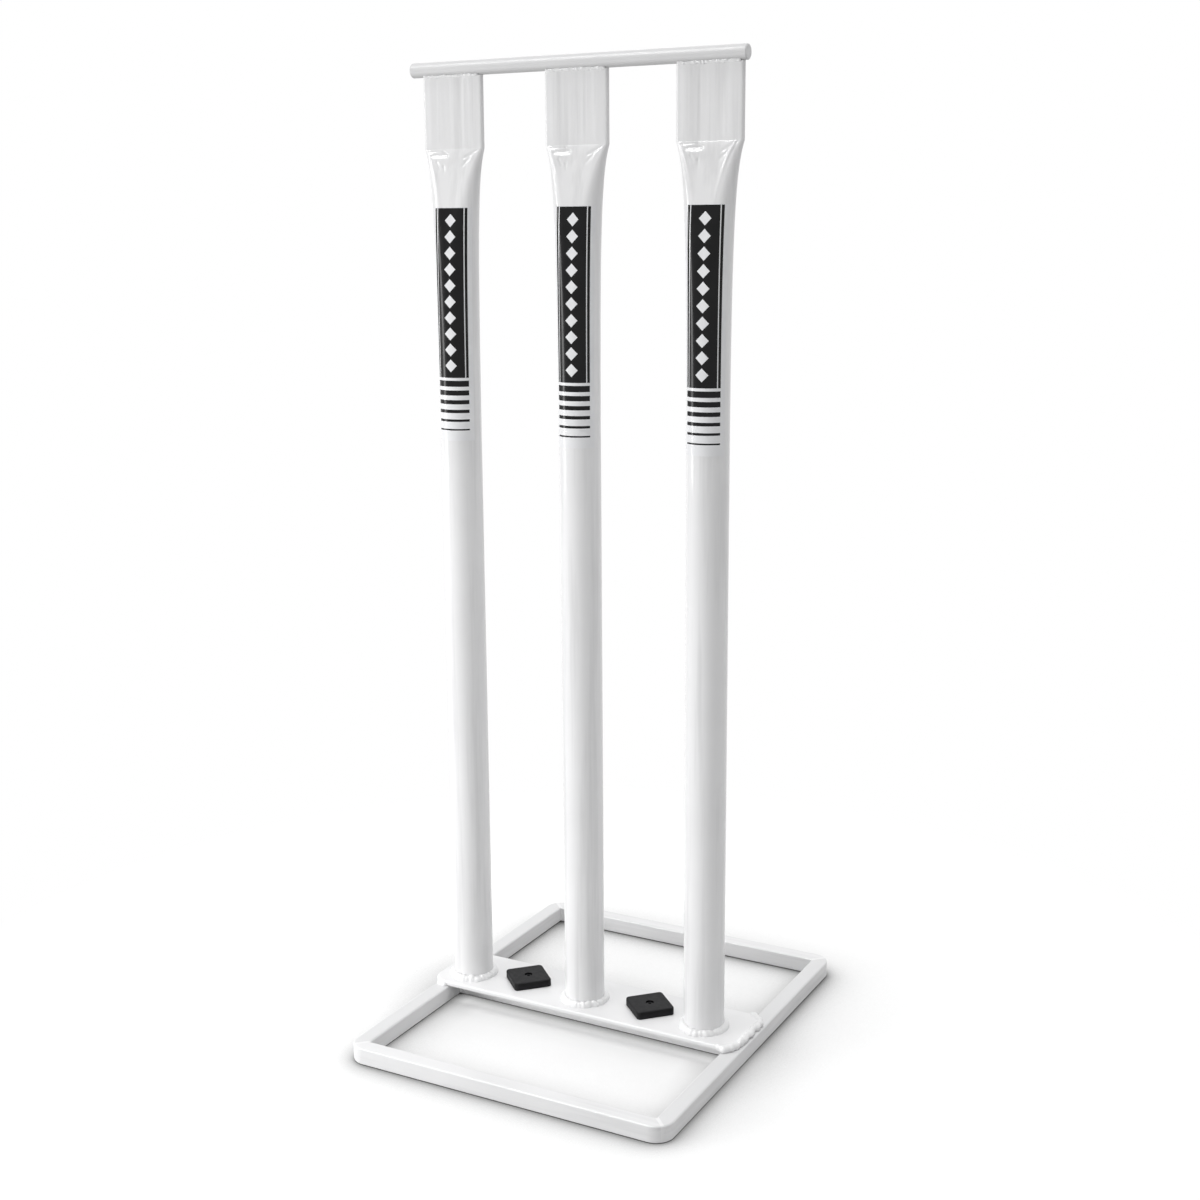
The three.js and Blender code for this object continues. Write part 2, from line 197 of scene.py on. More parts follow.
def dent(finish, surface, height, strength, depth):
    """Bump whose full height is depth millimetres."""
    bump = add_node(finish, "ShaderNodeBump")
    bump.inputs["Strength"].default_value = strength
    bump.inputs["Distance"].default_value = depth * mm
    wire(finish, height, bump.inputs["Height"])
    previous = surface.inputs["Normal"].links
    if previous:
        wire(finish, previous[0].from_socket, bump.inputs["Normal"])
    wire(finish, bump.outputs["Normal"], surface.inputs["Normal"])


print("shared patterns are ready")

# %% [markdown]
# The white is powder coat: plastic powder that is baked until it flows. It never lies quite flat, so
# it has a fine orange peel and slow swells, and its gloss changes a little from place to place. Over
# a weld the paint is greyer in the creases, which is painted shade: Pointiness tells the shader where
# the mesh folds inwards. The round bar is greyer on its top and underside, and the side rails on their
# tops, which is painted shade too. The front and back rails and the round bar get a darker copy of the
# white as painted shade, and the cross bar under the plate gets a lighter one as painted light. The
# cloudiness is stretched along bars and tubes into faint grey streaks, which are painted reflections.

# %% White powder coat
paint_white, paint_shade = grey(0.835), grey(0.8)
reflection_streak_grey, crease_shade_grey = grey(0.66), grey(0.6, blue=0)
swell_deep, peel_deep = 0.12, 0.012


def powder_coat(
    name, white=paint_white, shade=paint_shade, painted_shade_sides=(), drawn_out=None, crease_shade=0.0, swell=1.0, coat=0.5,
):
    """Painted shade sides are (grey, height of the normal with none of it, height with all of it)."""
    finish, surface = new_finish(name, white, 0.34)
    tone = blend_colours(finish, between(finish, cloudy(finish, 14), 0, 1), white, shade)
    # Grey streaks along the piece: painted reflections.
    if drawn_out:
        streaks = cloudy(finish, 130, rough=0.6, drawn_out=drawn_out)
        streaked = between(finish, streaks, 0, 0.5, share_low=0.5, share_high=0.68)
        tone = blend_colours(finish, streaked, tone, reflection_streak_grey)
    # Painted shade on sides, by the way they face.
    for shade_grey, none, full in painted_shade_sides:
        tone = blend_colours(finish, facing(finish, none, full), tone, shade_grey)
    # Painted shade in the creases, where Pointiness finds the mesh folding inwards.
    if crease_shade:
        fold = add_node(finish, "ShaderNodeNewGeometry").outputs["Pointiness"]
        folded = between(finish, fold, crease_shade, 0, share_low=0.44, share_high=0.495)
        tone = blend_colours(finish, folded, tone, crease_shade_grey)
    wire(finish, tone, surface.inputs["Base Color"])
    wire(finish, between(finish, cloudy(finish, 90), 0.29, 0.4), surface.inputs["Roughness"])
    surface.inputs["Specular IOR Level"].default_value = 0.15
    surface.inputs["Coat Weight"].default_value = coat
    surface.inputs["Coat Roughness"].default_value = 0.05
    dent(finish, surface, cloudy(finish, 60, detail=1.0), 0.6 * swell, swell_deep)
    dent(finish, surface, cloudy(finish, 700, detail=2.0), 0.35, peel_deep)
    return finish


along_x, along_y, along_z = (0.05, 1, 1), (1, 0.05, 1), (1, 1, 0.04)
tube_paint = powder_coat("white powder coat on tube", drawn_out=along_z, swell=0.4)
# A darker copy of the white, as painted shade.
shaded_rail_paint_x = powder_coat(
    "white powder coat on front and back rails", grey(0.79), grey(0.76), drawn_out=along_x, coat=0.25,
)
# The side rails' tops are greyer by the way they face, as painted shade.
rail_paint_y = powder_coat(
    "white powder coat on side rails", painted_shade_sides=((grey(0.7), 0.3, 0.9),), drawn_out=along_y, coat=0.2,
)
# A lighter copy of the white, as painted light in the plate's shadow.
lit_cross_paint = powder_coat(
    "white powder coat on cross bar", grey(0.93, blue=0), grey(0.9, blue=0), drawn_out=along_x, coat=0.25,
)
plate_paint = powder_coat("white powder coat on plate", coat=0.25)
# The round bar's top and underside are greyer by the way they face, as painted shade.
bar_top_shade, bar_underside_shade = (grey(0.64), 0.2, 0.8), (grey(0.42, blue=0), -0.35, -1.0)
# A darker copy of the white, as painted shade.
shaded_bar_paint = powder_coat(
    "white powder coat on round bar", grey(0.76), grey(0.73), painted_shade_sides=(bar_top_shade, bar_underside_shade), coat=0.06,
)
weld_paint = powder_coat("white powder coat over weld", crease_shade=0.5)
whites = (tube_paint, shaded_rail_paint_x, rail_paint_y, lit_cross_paint, plate_paint, shaded_bar_paint, weld_paint)
print("whites:", len(whites))

# %% [markdown]
# Modelling goes by operators, as by hand. An operator acts on all that is selected, so each piece
# starts with nothing selected. Its place is then put into its mesh, and its object stays at the
# origin. The next helpers do that, and a last one hands the piece over: it says which body the piece
# rides on, which plain solid it stands for and which material it gets.

# %% Helpers for modelling
def nothing_selected():
    if bpy.context.object and bpy.context.object.mode != "OBJECT":
        bpy.ops.object.mode_set(mode="OBJECT")
    bpy.ops.object.select_all(action="DESELECT")


def only(piece):
    nothing_selected()
    bpy.context.view_layer.objects.active = piece
    piece.select_set(True)


def settle(piece):
    """Puts the piece's place, turn and size into its mesh."""
    only(piece)
    bpy.ops.object.transform_apply(location=True, rotation=True, scale=True)


def block(low, high):
    """A cube primitive between two corners, in millimetres."""
    nothing_selected()
    low, high = Vector(low) * mm, Vector(high) * mm
    bpy.ops.mesh.primitive_cube_add(size=1, location=(low + high) / 2)
    piece = bpy.context.object
    piece.scale = high - low
    settle(piece)
    return piece


def twin(piece):
    copy = piece.copy()
    copy.data = piece.data.copy()
    bpy.context.scene.collection.objects.link(copy)
    return copy


print("helpers for modelling are ready")


# %% Picking edges
# Places less than a hair apart, in millimetres, are the same.
sharp_turn = math.radians(30)
hair = 0.01


def pick_edges(piece, wanted):
    """Leaves the piece in edit mode with only the edges picked that pass the test, in millimetres."""
    only(piece)
    bpy.ops.object.mode_set(mode="EDIT")
    bpy.ops.mesh.select_mode(type="EDGE")
    bpy.ops.mesh.select_all(action="DESELECT")
    shape = bmesh.from_edit_mesh(piece.data)
    for edge in shape.edges:
        sharp = edge.calc_face_angle(0) > sharp_turn
        edge.select_set(sharp and wanted(*(end.co / mm for end in edge.verts)))
    bmesh.update_edit_mesh(piece.data)


def upright(a, b):
    return abs(a.z - b.z) > 1


def level(a, b):
    return abs(a.z - b.z) < hair


def round_edges(piece, wanted, radius, steps):
    pick_edges(piece, wanted)
    bpy.ops.mesh.bevel(offset=radius * mm, offset_type="OFFSET", segments=steps, affect="EDGES")
    bpy.ops.object.mode_set(mode="OBJECT")


print("edges that turn less than", round(math.degrees(sharp_turn)), "degrees are left alone")


# %% Finishing a piece
boxy, rolled, rippled = 40, 50, 80


def apply_all(piece):
    only(piece)
    for modifier in list(piece.modifiers):
        bpy.ops.object.modifier_apply(modifier=modifier.name)


def hand_over(piece, name, node, paint, kind=boxy):
    """The kind of piece is the turn, in degrees, up to which its edges are shaded smooth."""
    only(piece)
    bpy.ops.object.shade_smooth_by_angle(angle=math.radians(kind))
    if kind == boxy:
        flat = piece.modifiers.new("keep flat faces flat", "WEIGHTED_NORMAL")
        flat.weight, flat.keep_sharp = 100, True
        apply_all(piece)
    piece.name = piece.data.name = name
    piece.data.materials.clear()
    piece.data.materials.append(paint)
    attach(piece, "root")
    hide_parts(node)
    print(name, "for", node, "with", len(piece.data.polygons), "faces")


print("smooth up to", boxy, rolled, "or", rippled, "degrees")

# %% [markdown]
# The floor frame is square bar, mitred and welded at four corners and painted over. It is modelled
# whole, so that the paint runs through the corners, and cut into rails and corner welds later. A
# plane is inset by the bar's width, its middle is deleted, and the ring is extruded up. Then the
# outer corners get their wide bevel, and the long edges their small one.

# %% The frame in one piece
def whole_frame():
    nothing_selected()
    bpy.ops.mesh.primitive_plane_add(size=1)
    ring = bpy.context.object
    ring.scale = ((frame_right - frame_left) * mm, (frame_back - frame_front) * mm, 1)
    ring.location = ((frame_left + frame_right) / 2 * mm, (frame_front + frame_back) / 2 * mm, 0)
    settle(ring)
    bpy.ops.object.mode_set(mode="EDIT")
    bpy.ops.mesh.select_all(action="SELECT")
    bpy.ops.mesh.inset(thickness=rail * mm)
    bpy.ops.mesh.delete(type="FACE")
    bpy.ops.mesh.select_all(action="SELECT")
    bpy.ops.mesh.extrude_region_move(TRANSFORM_OT_translate={"value": (0, 0, rail * mm)})
    bpy.ops.mesh.select_all(action="SELECT")
    bpy.ops.mesh.normals_make_consistent(inside=False)
    bpy.ops.object.mode_set(mode="OBJECT")
    return ring


ring = whole_frame()
print("ring of square bar, in metres:", tuple(round(v, 4) for v in ring.dimensions))

# %% Round the outer corners
def at_outer_corner(a, b):
    return upright(a, b) and (a.x < frame_left + 1 or a.x > frame_right - 1)


round_edges(ring, at_outer_corner, frame_corner, 14)
print("rounded corners:", len(ring.data.polygons), "faces")

# %% Round the long edges
def long_edge(a, b):
    middle = (a + b) / 2
    return level(a, b) and (middle.z < hair or middle.z > rail - hair)


round_edges(ring, long_edge, rail_edge, 4)
print("frame with rounded edges:", len(ring.data.polygons), "faces")

# %% [markdown]
# The ring is now cut into its pieces. Each corner weld is the thin slice that is left of a copy when
# both rails are cut off beside the mitre. The bisect operator does that: it cuts along a plane,
# clears what lies beyond it and closes the cut. The mitre runs inwards from the corner at 45 degrees.

# %% Helpers for the cuts
def cut_away(piece, point, normal):
    """Cuts off what lies beyond a plane and closes the cut. The point is in millimetres."""
    only(piece)
    bpy.ops.object.mode_set(mode="EDIT")
    bpy.ops.mesh.select_all(action="SELECT")
    bpy.ops.mesh.bisect(
        plane_co=Vector(point) * mm, plane_no=normal, use_fill=True, clear_outer=True, threshold=1e-7,
    )
    bpy.ops.object.mode_set(mode="OBJECT")


frame_corners = {
    "front_left": (frame_left, frame_front, 1, 1),
    "front_right": (frame_right, frame_front, -1, 1),
    "back_left": (frame_left, frame_back, 1, -1),
    "back_right": (frame_right, frame_back, -1, -1),
}


def mitre(corner):
    """The corner's place on the floor, and the level direction square to its mitre."""
    x, y, inward_x, inward_y = frame_corners[corner]
    return Vector((x, y, 0)), Vector((-inward_y, inward_x, 0)).normalized()


print("a mitre's directions:", [tuple(round(v, 2) for v in mitre(corner)[1]) for corner in frame_corners])

# %% The four corner welds
for corner, (x, y, inward_x, inward_y) in frame_corners.items():
    weld = twin(ring)
    tip, across = mitre(corner)
    for side in (-1, 1):
        cut_away(weld, tip + across * side * weld_width / 2, across * side)
    past_weld = (x + 2 * frame_corner * inward_x, y + 2 * frame_corner * inward_y, 0)
    cut_away(weld, past_weld, (inward_x, inward_y, 0))
    hand_over(weld, f"corner_{corner}", f"frame_corner_weld_{corner}", plate_paint)

# %% The four rails
rail_ends = {
    "front": (("front_left", "front_right"), (0, 1)),
    "right": (("front_right", "back_right"), (-1, 0)),
    "back": (("back_right", "back_left"), (0, -1)),
    "left": (("back_left", "front_left"), (1, 0)),
}
for side, (corners, inward) in rail_ends.items():
    piece = twin(ring)
    for corner in corners:
        tip, across = mitre(corner)
        away = across if across.dot(Vector((*inward, 0))) > 0 else -across
        cut_away(piece, tip - away * weld_width / 2, away)
    paint = shaded_rail_paint_x if inward[0] == 0 else rail_paint_y
    hand_over(piece, f"rail_{side}", f"frame_{side}_rail", paint)
bpy.data.objects.remove(ring)

# %% [markdown]
# The cross bar lies on the floor under the plate, and only a strip of it shows below the plate's
# front edge. The plate is a flat strip with rounded corners. Both are blocks with bevelled edges,
# and the plate is drilled for the two screws, by a boolean with two cylinders.

# %% Cross bar
cross = block(
    (frame_left + rail + cross_gap, cross_y - rail / 2, 0),
    (frame_right - rail - cross_gap, cross_y + rail / 2, rail),
)
round_edges(cross, lambda a, b: level(a, b) and abs(a.x - b.x) > 1, rail_edge, 4)
hand_over(cross, "bar_under_plate", "cross_bar", lit_cross_paint)

# %% Plate
def peg(x, y, low, high, radius, sides=48):
    """A cylinder primitive that stands on a height, in millimetres."""
    nothing_selected()
    bpy.ops.mesh.primitive_cylinder_add(
        vertices=sides, radius=radius * mm, depth=(high - low) * mm,
        location=(x * mm, y * mm, (low + high) / 2 * mm),
    )
    piece = bpy.context.object
    settle(piece)
    return piece


def carve(piece, tool):
    """Takes the tool's shape out of the piece."""
    hole = piece.modifiers.new("carve", "BOOLEAN")
    hole.operation, hole.solver, hole.object = "DIFFERENCE", "EXACT", tool
    apply_all(piece)
    bpy.data.objects.remove(tool)


past, shank_hole = 2, 1.8
plate = block((plate_left, plate_front, rail), (plate_right, plate_back, plate_top))
round_edges(plate, upright, plate_corner, 12)
round_edges(plate, level, plate_edge, 4)
for x in pad_places.values():
    carve(plate, peg(x, pad_y, rail - past, plate_top + past, shank_hole))
hand_over(plate, "foot_plate", "stump_plate", plate_paint)

# %% [markdown]
# A stump is one tube whose top was pressed between two dies. Pressing doesn't stretch the tube, so
# each section keeps its girth. A section is two flats joined by two half rounds, and the flats grow
# towards the shoulder. The tube starts as a circle that is extruded ring by ring. Each ring is then
# pressed in code, because a scale can only make an ellipse.

# %% How far the tube is pressed
def section(depth):
    """Half width and half thickness at a depth below the shoulder, in millimetres."""
    rest = math.exp(-neck_length / neck_fall)
    below = min(max(depth, 0), neck_length)
    pressed = (math.exp(-below / neck_fall) - rest) / (1 - rest)
    squeeze = (tube_radius - flat_thickness / 2) * pressed
    half_thickness = tube_radius - squeeze
    pressed_half = flat_thickness / 2 + quarter * (tube_radius - flat_thickness / 2)
    spread = (flat_width / 2 - pressed_half) * pressed ** 4
    return half_thickness + quarter * squeeze + spread, half_thickness


for share in (0, 0.1, 0.3, 1):
    halves = section(share * neck_length)
    print("at", share, "of the neck, half width and half thickness:", [round(v, 2) for v in halves])

# %% [markdown]
# The dies leave marks. The folded edges stay a little thicker than the middle, and fine lines run
# down the flats where the wall creased. Just below the die line the wall bulges out at once, which
# makes a narrow shelf. The shelf has a dent on the left, pleats that run in from the corners, and
# two soft ridges that follow the folded edges down. All are small moves along the surface's normal,
# and they fade out on the round part. Each stump creased in its own places.

# %% Marks that the dies leave
creases = {
    "left": {"lines": (9.5, -12.0), "right_ridge": 0.12},
    "middle": {"lines": (5.6, -15.0), "right_ridge": 0.12},
    "right": {"lines": (11.8, -8.5), "right_ridge": 0.85},
}
smooth = {"lines": (), "right_ridge": 0.12}
# A pleat has a start and an end, each across and below the die line, then its width and depth.
pleats = (
    ((-20.0, 1.7), (-8.0, 1.6), 0.8, 0.5), ((-4.6, 4.2), (-8.2, 1.6), 0.8, 0.6),
    ((21.0, 1.2), (10.8, 6.4), 1.15, 0.95), ((14.5, 6.6), (9.4, 12.0), 1.0, 0.6),
    ((-12.5, 9.2), (-9.8, 13.6), 1.0, 0.6), ((-6.6, 12.0), (-6.0, 15.6), 1.0, 0.5),
)


def bell(distance, width):
    return math.exp(-((distance / width) ** 2))


def pleat(point, start, end, width, deep):
    """How far a pleat between two points takes the wall in, at a point of the flat side."""
    point, start, end = Vector(point), Vector(start), Vector(end)
    run = end - start
    share = min(max((point - start).dot(run) / run.length_squared, 0), 1)
    return deep * bell((point - start - run * share).length, width) * (1 - 0.5 * share)


def marks_on_flat(height, across, lines):
    """The flat above the die line: wide soft streaks, folded edges, and a few sharp lines."""
    streaks = 0.07 * math.sin(across * 0.55 + 0.4) + 0.03 * math.sin(across * 1.3 + height * 0.03)
    folded = 0.42 * bell(abs(across) - 17.5, 3.4)
    sharp = sum(0.14 * bell(across - line - 0.012 * height, 0.9) for line in lines)
    return (streaks + folded + sharp) * (1 - math.exp(-height / 3))


def die_marks(depth, across, flat_half, marks):
    """How far the flat side stands out, in millimetres. Across is the place on the flat."""
    share = across / max(flat_half, 0.001)
    on_flat = max(0.0, 1 - abs(share) ** 6)
    if depth < 0:
        return on_flat * marks_on_flat(-depth, across, marks["lines"])
    step = 0.07 * (1 - math.exp(-depth / 0.35))
    swell = 0.3 + 0.85 * bell(across + 12.5, 7) + 0.2 * bell(across - 17, 4)
    shelf = swell * (1 - math.exp(-((depth / 3.4) ** 2))) * math.exp(-depth / 9)
    dent = -1.15 * math.exp(-(((across + 10.2) / 6.4) ** 4)) * bell(depth - 4.2, 1.5)
    dimple = -0.2 * bell(across + 0.5, 2.4) * bell(depth - 11.5, 2.4)
    folds = -sum(pleat((across, depth), *fold) for fold in pleats) * min(depth, 1)
    left_ridge = 0.5 * bell(across + flat_half * 0.95, 1.3) * math.exp(-depth / 45)
    right_ridge = marks["right_ridge"] * bell(across - flat_half * 0.88, 1.0) * math.exp(-depth / 32)
    hollow = -0.3 * max(0.0, 1 - share * share) * math.exp(-depth / 60) * min(depth / 12, 1)
    ridges = (left_ridge + right_ridge) * (1 - math.exp(-depth / 0.9))
    return on_flat * (step + shelf + dent + dimple + folds + hollow) + ridges


print("shelf below the die line:", round(die_marks(2, 0, 21, smooth), 2), "mm")


# %% A point on the pressed tube
def pressed_point(share, height, offset=0.0, marks=smooth):
    """The point at a share of the girth, anticlockwise from +X, in millimetres from the axis."""
    depth = shoulder - height
    half_width, half_thickness = section(depth)
    flat = 2 * (half_width - half_thickness)
    half_round = math.pi * half_thickness
    half_girth = flat + half_round
    travel = (share % 1) * 2 * half_girth + half_round / 2
    side = 1 if travel % (2 * half_girth) < half_girth else -1
    along = travel % half_girth
    radius = half_thickness + offset
    if along < half_round:
        turn = along / half_thickness - quarter
        return side * (flat / 2 + radius * math.cos(turn)), side * radius * math.sin(turn)
    across = flat / 2 - (along - half_round)
    return side * across, side * (radius + die_marks(depth, side * across, flat / 2, marks))


print("front of the flat at mid height:", [round(v, 2) for v in pressed_point(0.75, 675)])

# %% [markdown]
# The rings lie close together at the die line, where the shape changes fast, and far apart on the
# straight tube. The tube gets its wall from a Solidify modifier, which grows inwards.

# %% Ring heights
above_die = [-flat_height, -44, -38, -32, -26, -20, -15, -11, -8, -5.5, -3.8, -2.4, -1.4, -0.7, -0.25, 0]
below_die = [0.2, 0.45, 0.7, 1, 1.3, 1.7, 2.2, 2.7, 3.2, 3.8, 4.4, 5, 5.7, 6.4, 7.2]
below_die += [8, 8.8, 9.6, 10.4, 11.2, 12, 12.8, 13.7, 14.6, 15.6]
fading = [17, 18.6, 21, 24, 27, 30.5, 34, 38, 42, 47, 52, 58, 64, 72, 80, 90, 102, 116, 132, 150, 174]
round_tube = [neck_length, 300, 450]
ring_depths = above_die + below_die + fading + round_tube
ring_heights = sorted([shoulder - depth for depth in ring_depths] + [plate_top])
tube_sides = 216
print(len(ring_heights), "rings from", ring_heights[0], "to", ring_heights[-1])


# %% Extrude the tube
def straight_tube():
    nothing_selected()
    foot = (0, 0, ring_heights[0] * mm)
    bpy.ops.mesh.primitive_circle_add(
        vertices=tube_sides, radius=tube_radius * mm, fill_type="NOTHING", location=foot,
    )
    tube = bpy.context.object
    settle(tube)
    bpy.ops.object.mode_set(mode="EDIT")
    bpy.ops.mesh.select_all(action="SELECT")
    for low, high in zip(ring_heights, ring_heights[1:]):
        bpy.ops.mesh.extrude_edges_move(TRANSFORM_OT_translate={"value": (0, 0, (high - low) * mm)})
    bpy.ops.mesh.select_all(action="SELECT")
    bpy.ops.mesh.normals_make_consistent(inside=False)
    bpy.ops.object.mode_set(mode="OBJECT")
    return tube


tube = straight_tube()
print("straight tube:", len(tube.data.polygons), "faces")

# %% Press three stumps from copies of it
for side, x in stump_places.items():
    stump = twin(tube)
    for corner in stump.data.vertices:
        share = math.atan2(corner.co.y, corner.co.x) / (2 * math.pi)
        out_x, out_y = pressed_point(share, corner.co.z / mm, 0.0, creases[side])
        corner.co = Vector(((x + out_x) * mm, out_y * mm, corner.co.z))
    wall = stump.modifiers.new("wall", "SOLIDIFY")
    wall.thickness, wall.offset = tube_wall * mm, -1
    apply_all(stump)
    hand_over(stump, f"stump_{side}", f"{side}_stump", tube_paint, kind=rolled)
bpy.data.objects.remove(tube)

# %% [markdown]
# The round bar is a cylinder laid along the row, with softened rims at its two flat ends.

# %% Round bar
nothing_selected()
bar_middle = Vector(((bar_left + bar_right) / 2, 0, wicket_height - bar_radius)) * mm
bpy.ops.mesh.primitive_cylinder_add(
    vertices=72, radius=bar_radius * mm, depth=(bar_right - bar_left) * mm,
    location=bar_middle, rotation=(0, quarter, 0),
)
bar = bpy.context.object
settle(bar)
round_edges(bar, lambda a, b: abs(a.x - b.x) < hair, bar_rim, 5)
hand_over(bar, "top_bar", "bail_bar", shaded_bar_paint)

# %% [markdown]
# A weld is a row of small puddles of steel, each laid half over the one before. So each bead is made
# as balls laid along its route, a little uneven in size and place. A Remesh modifier runs them into
# one skin, and Smooth softens the creases as thick paint does. The random numbers have a fixed seed,
# so each run gives the same beads.

# %% Lay a bead
seed, skin_gap = 11, 0.02
chance = random.Random(seed)


def lay_bead(puddles, fineness=0.42, softening=6):
    """Puddles are (centre, radii, turn about Z), in millimetres and radians."""
    nothing_selected()
    balls = []
    for centre, radii, turn in puddles:
        bpy.ops.mesh.primitive_uv_sphere_add(
            segments=20, ring_count=12, radius=mm, location=Vector(centre) * mm, rotation=(0, 0, turn),
        )
        ball = bpy.context.object
        ball.scale = radii
        balls.append(ball)
    for ball in balls:
        ball.select_set(True)
    bpy.ops.object.join()
    bead = bpy.context.object
    settle(bead)
    run = bead.modifiers.new("run together", "REMESH")
    run.mode, run.voxel_size = "VOXEL", fineness * mm
    soft = bead.modifiers.new("soften", "SMOOTH")
    soft.factor, soft.iterations = 0.5, softening
    apply_all(bead)
    return bead


def uneven(size, spread):
    """The size, more or less by up to a share of it."""
    return size * (1 + chance.uniform(-spread, spread))


print("beads are laid with seed", seed)


# %% Rings of weld at the feet
def foot_bead(x, rough_turn):
    """The bead is smooth behind and heaped up towards one side, where the welder stopped."""
    puddles = []
    turn, step, last_turn = 0.0, 0.085, 2 * math.pi - 0.05
    while turn < last_turn:
        rough = max(0.0, math.cos(turn - rough_turn)) ** 4
        ripple = 0.02 + 0.2 * rough
        out = tube_radius + 0.5 + uneven(0.3, rough)
        wide, high = uneven(3.2 + 0.5 * rough, ripple), uneven(3.9, ripple)
        long = uneven(2.4 + 0.9 * rough, 0.35 * rough)
        slant = turn + uneven(0.9, 0.3) * rough
        centre = (x + out * math.cos(turn), out * math.sin(turn), plate_top + 0.3)
        puddles.append((centre, (wide, long, high), slant))
        turn += step + 0.2 * rough * uneven(1, 0.5)
    bead = lay_bead(puddles, fineness=0.4, softening=9)
    cut_away(bead, (x, 0, plate_top + skin_gap), (0, 0, -1))
    carve(bead, peg(x, 0, plate_top - 3, plate_top + 9, tube_radius + skin_gap, 128))
    return bead


for side, rough_turn in (("left", -0.9), ("middle", -0.7), ("right", -1.1)):
    bead = foot_bead(stump_places[side], rough_turn)
    hand_over(bead, f"foot_bead_{side}", f"{side}_stump_foot_weld", weld_paint, kind=rippled)

# %% Bead along the right end of the plate
def on_round(corner_x, corner_y, degrees, reach):
    turn = math.radians(degrees)
    return Vector((corner_x + reach * math.cos(turn), corner_y + reach * math.sin(turn), 0))


round_right, round_left = plate_right - plate_corner, plate_left + plate_corner
round_front, round_back = plate_front + plate_corner, plate_back - plate_corner
just_outside, just_inside, right_inset, left_inset = plate_corner + 0.2, plate_corner - 0.1, 0.1, 0.2
straight_places = (-9.5, -5.6, -2, 2.1, 6, 10.2, 14, 17.6, 21.4)
right_route = [on_round(round_right, round_front, turn, just_outside) for turn in range(-80, -5, 15)]
right_route += [Vector((plate_right, y, 0)) for y in straight_places]
right_route += [on_round(round_right, round_back, turn, just_outside) for turn in range(10, 76, 15)]
puddles = []
for place in right_route:
    centre = (place.x - uneven(0.7, 1), place.y + uneven(0.5, 2), rail + uneven(2.2, 0.12))
    puddles.append((centre, (uneven(3.0, 0.2), uneven(3.6, 0.3), uneven(3.1, 0.16)), uneven(0.4, 1)))
bead = lay_bead(puddles, softening=22)
cut_away(bead, (0, 0, rail + skin_gap), (0, 0, -1))
cut_away(bead, (frame_right - right_inset, 0, 0), (1, 0, 0))
hand_over(bead, "plate_bead_right", "right_plate_weld", weld_paint, kind=rippled)

# %% Small dabs at the plate's left corners
for end, y, first, last in (("front", round_front, 240, 268), ("back", round_back, 92, 120)):
    puddles = []
    for degrees in range(first, last + 1, 4):
        place = on_round(round_left, y, degrees, just_inside)
        puddles.append(((place.x, place.y, rail + 0.6), (2.1, 2.1, uneven(2.5, 0.08)), 0))
    bead = lay_bead(puddles, fineness=0.4)
    cut_away(bead, (0, 0, rail + skin_gap), (0, 0, -1))
    cut_away(bead, (frame_left + left_inset, 0, 0), (-1, 0, 0))
    hand_over(bead, f"plate_bead_left_{end}", f"left_plate_weld_{end}", weld_paint, kind=rippled)

# %% Beads between the flats and the round bar, before and behind
half_run, off_axis, puddle_pitch = 22, 2.65, 1.25
for side, x in stump_places.items():
    for end, sign in (("front", -1), ("back", 1)):
        place, puddles = x - half_run, []
        while place < x + half_run:
            centre = (place, sign * uneven(off_axis, 0.06), tube_top + uneven(0.25, 1))
            puddles.append((centre, (uneven(1.7, 0.3), uneven(1.0, 0.25), uneven(1.15, 0.3)), 0))
            place += uneven(puddle_pitch, 0.35)
        bead = lay_bead(puddles, fineness=0.3, softening=4)
        hand_over(bead, f"top_bead_{side}_{end}", f"{side}_bail_weld_{end}", weld_paint, kind=rippled)

# %% Upright beads at the ends of the cross bar
lowest, highest = 2.6, rail - 2.2
for side, x, sign in (("left", frame_left + rail, 1), ("right", frame_right - rail, -1)):
    puddles = []
    for edge in (-1, 1):
        height = lowest
        while height < highest:
            centre = (x + sign * 0.9, cross_y + edge * (rail / 2 + 0.6), height)
            puddles.append((centre, (uneven(2.1, 0.2), uneven(2.1, 0.2), uneven(1.8, 0.2)), 0))
            height += uneven(1.6, 0.3)
    root = ((x + sign * 0.5, cross_y, rail / 2), (0.9, rail / 2, 4.2), 0)
    bead = lay_bead(puddles + [root])
    cut_away(bead, (x + sign * skin_gap, 0, 0), (-sign, 0, 0))
    hand_over(bead, f"cross_bead_{side}", f"{side}_cross_bar_weld", weld_paint, kind=rippled)

# %% [markdown]
# The labels are thin vinyl, wrapped round the front of each tube where the neck starts to flatten.
# A grid primitive brings its own UV map, and each of its points is laid on the tube's surface by the
# same function that pressed the tube. Solidify then gives the sheet its thickness.

# %% Wrap the labels
label_width, label_height, below_shoulder = 34, 167, 41
label_top = shoulder - below_shoulder
front_share, label_turn = 0.75, 6.5
film_lift, film_thick = 0.04, 0.24


def wrapped_label():
    nothing_selected()
    bpy.ops.mesh.primitive_grid_add(x_subdivisions=32, y_subdivisions=72, size=2, calc_uvs=True)
    sheet = bpy.context.object
    for corner in sheet.data.vertices:
        height = label_top - label_height * (1 - corner.co.y) / 2
        share = front_share + label_turn / 360 + corner.co.x / 2 * label_width / girth
        x, y = pressed_point(share, height, film_lift)
        corner.co = Vector((x, y, height)) * mm
    film = sheet.modifiers.new("film", "SOLIDIFY")
    film.thickness, film.offset = film_thick * mm, 1
    apply_all(sheet)
    return sheet


sheet = wrapped_label()
print("label:", len(sheet.data.polygons), "faces, size", tuple(round(v, 4) for v in sheet.dimensions))

